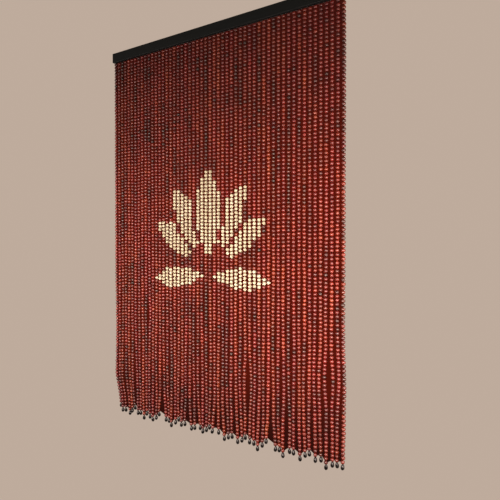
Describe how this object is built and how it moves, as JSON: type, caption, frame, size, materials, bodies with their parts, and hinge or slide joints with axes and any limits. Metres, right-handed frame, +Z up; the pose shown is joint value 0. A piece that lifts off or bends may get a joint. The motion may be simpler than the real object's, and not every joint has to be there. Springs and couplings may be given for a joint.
{
  "type": "bead curtain with header rail",
  "caption": "Doorway curtain of straight strings of round wooden beads, each ending in a drop bead, hung side by side from a slim rail.",
  "frame": {"origin": "centre of the rail's flat back face, which is screwed to the wall or frame above a doorway", "axes": "+X along the rail, +Y out of the rail's back face into the wall, so the curtain is looked at from -Y, +Z up"},
  "size_m": [0.81, 0.018, 1.1967],
  "materials": {
    "rail_paint": "satin black paint on a wooden batten",
    "bead_wood": "glossy red-brown lacquer"
  },
  "bodies": {
    "root": {"header_rail": "rail_paint", "bead_strands": "bead_wood"}
  },
  "joints": []
}
